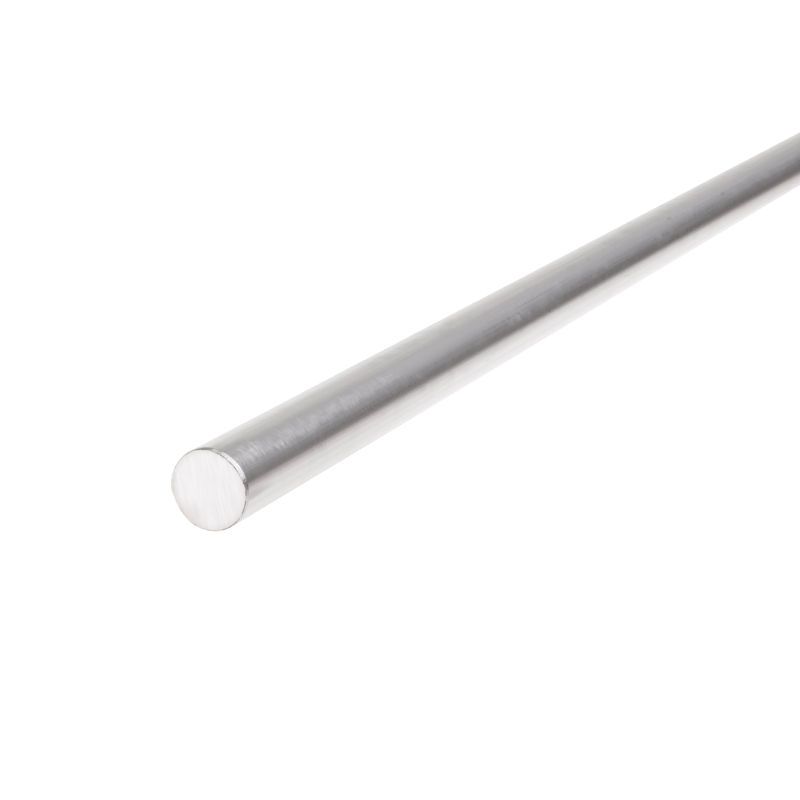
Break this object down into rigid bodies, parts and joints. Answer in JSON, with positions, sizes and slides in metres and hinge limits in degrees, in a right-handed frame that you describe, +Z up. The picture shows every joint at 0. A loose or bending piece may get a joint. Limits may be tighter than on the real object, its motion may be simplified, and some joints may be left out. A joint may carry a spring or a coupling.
{
  "type": "round metal bar",
  "caption": "Solid round bar of drawn aluminium, lying on its side, sawn square and deburred at both ends.",
  "frame": {"origin": "on the floor, straight below the middle of the bar's length", "axes": "+Y along the bar, from the front end, which the picture shows, to the back end; +Z up"},
  "size_m": [0.025, 1, 0.025],
  "materials": {
    "bar_metal": "drawn and satin, with fine lines along the bar; sawn ends"
  },
  "bodies": {
    "root": {"bar": "bar_metal"}
  },
  "joints": []
}
